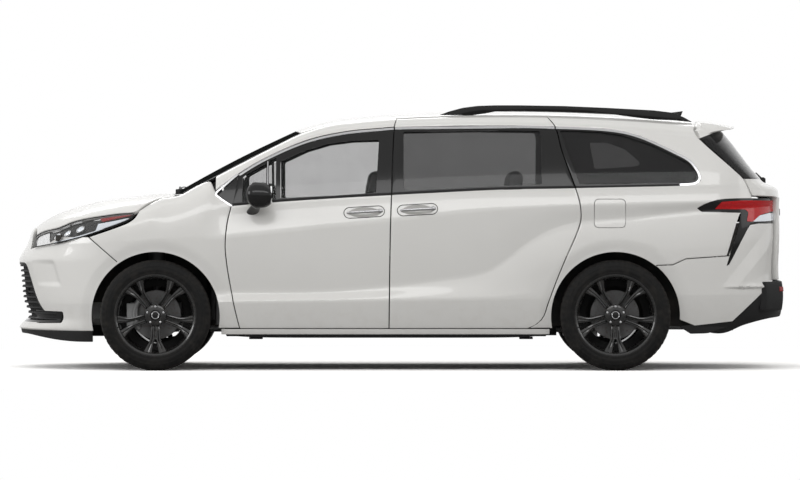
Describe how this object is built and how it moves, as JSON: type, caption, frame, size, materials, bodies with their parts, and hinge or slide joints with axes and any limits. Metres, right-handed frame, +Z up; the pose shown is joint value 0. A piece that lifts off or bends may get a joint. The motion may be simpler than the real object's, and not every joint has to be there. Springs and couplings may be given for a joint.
{
  "type": "minivan",
  "caption": "Long white family minivan with hinged front doors, sliding side doors, top-hinged liftgate, opening hood and fuel door, steered front wheels and three rows of seats.",
  "frame": {"origin": "on the ground, in the middle of the length and width", "axes": "-X is the front of the van, +X its rear, -Y its left-hand (driver's) side, +Z up"},
  "size_m": [5.1763, 2.3674, 1.77],
  "materials": {
    "paint": "gloss white",
    "underbody": "matte black",
    "black_plastic": "satin black",
    "lamp": "clear over silver",
    "red_lamp": "clear red",
    "glass": "tinted",
    "trim": "grained",
    "seat": "soft",
    "cast": "as cast",
    "steel": "dull",
    "alloy": "gloss black",
    "tyre": "matte"
  },
  "bodies": {
    "body": {"floor_pan": "underbody", "rockers": "paint", "front_pillars": "paint", "middle_pillars": "paint", "roof": "paint", "quarter_panels": "paint", "front_fenders": "paint", "front_bumper": "paint", "grille": "black_plastic", "headlights": "lamp", "cowl": "black_plastic", "dashboard": "trim", "windshield": "glass", "quarter_windows": "glass", "sliding_door_left": "paint", "sliding_door_right": "paint", "sliding_door_windows": "glass", "rear_bumper": "paint", "tail_lights": "red_lamp", "roof_rails": "black_plastic", "engine": "cast", "front_subframe": "underbody", "front_struts": "underbody", "rear_axle": "underbody", "exhaust": "steel", "fuel_tank": "black_plastic", "front_seats": "seat", "second_row_seats": "seat", "third_row_seat": "seat"},
    "hood_body": {"hood": "paint"},
    "door_left": {"front_door_left": "paint", "front_window_left": "glass", "mirror_left": "black_plastic"},
    "door_right": {"front_door_right": "paint", "front_window_right": "glass", "mirror_right": "black_plastic"},
    "gate": {"liftgate": "paint", "liftgate_window": "glass", "plate_holder": "black_plastic"},
    "fuel_flap": {"fuel_door": "paint"},
    "steering": {"steering_wheel": "trim"},
    "steer_left": {"knuckle_left": "cast"},
    "steer_right": {"knuckle_right": "cast"},
    "front_left": {"wheel_front_left": "alloy", "tyre_front_left": "tyre"},
    "front_right": {"wheel_front_right": "alloy", "tyre_front_right": "tyre"},
    "rear_left": {"wheel_rear_left": "alloy", "tyre_rear_left": "tyre"},
    "rear_right": {"wheel_rear_right": "alloy", "tyre_rear_right": "tyre"}
  },
  "joints": [
    {"name": "hood_hinge", "type": "hinge", "parent": "body", "child": "hood_body", "pos_m": [-1.45, 0, 1.15], "axis": [0, 1, 0], "range_deg": [0, 50]},
    {"name": "front_door_left_hinge", "type": "hinge", "parent": "body", "child": "door_left", "pos_m": [-1.168, -0.984, 0.7], "axis": [0, 0, -1], "range_deg": [0, 65]},
    {"name": "front_door_right_hinge", "type": "hinge", "parent": "body", "child": "door_right", "pos_m": [-1.168, 0.984, 0.7], "axis": [0, 0, 1], "range_deg": [0, 65]},
    {"name": "liftgate_hinge", "type": "hinge", "parent": "body", "child": "gate", "pos_m": [1.968, 0, 1.668], "axis": [0, -1, 0], "range_deg": [0, 80]},
    {"name": "fuel_door_hinge", "type": "hinge", "parent": "body", "child": "fuel_flap", "pos_m": [1.2945, -0.991, 1.045], "axis": [0, 0, -1], "range_deg": [0, 95]},
    {"name": "steering_wheel_turn", "type": "hinge", "parent": "body", "child": "steering", "pos_m": [-0.775, -0.375, 0.985], "axis": [0.9063, 0, 0.4226], "range_deg": [-470, 470]},
    {"name": "steer_left", "type": "hinge", "parent": "body", "child": "steer_left", "pos_m": [-1.627, -0.814, 0.368], "axis": [0, 0, 1], "range_deg": [-33, 33]},
    {"name": "steer_right", "type": "hinge", "parent": "body", "child": "steer_right", "pos_m": [-1.627, 0.814, 0.368], "axis": [0, 0, 1], "range_deg": [-33, 33]},
    {"name": "front_left_spin", "type": "hinge", "parent": "steer_left", "child": "front_left", "pos_m": [-1.627, -0.864, 0.368], "axis": [0, 1, 0], "continuous": true},
    {"name": "front_right_spin", "type": "hinge", "parent": "steer_right", "child": "front_right", "pos_m": [-1.627, 0.864, 0.368], "axis": [0, 1, 0], "continuous": true},
    {"name": "rear_left_spin", "type": "hinge", "parent": "body", "child": "rear_left", "pos_m": [1.433, -0.864, 0.368], "axis": [0, 1, 0], "continuous": true},
    {"name": "rear_right_spin", "type": "hinge", "parent": "body", "child": "rear_right", "pos_m": [1.433, 0.864, 0.368], "axis": [0, 1, 0], "continuous": true}
  ],
  "couplings": [
    {"joint": "steer_right", "follows": "steer_left", "ratio": 1},
    {"joint": "steering_wheel_turn", "follows": "steer_left", "ratio": 14}
  ]
}
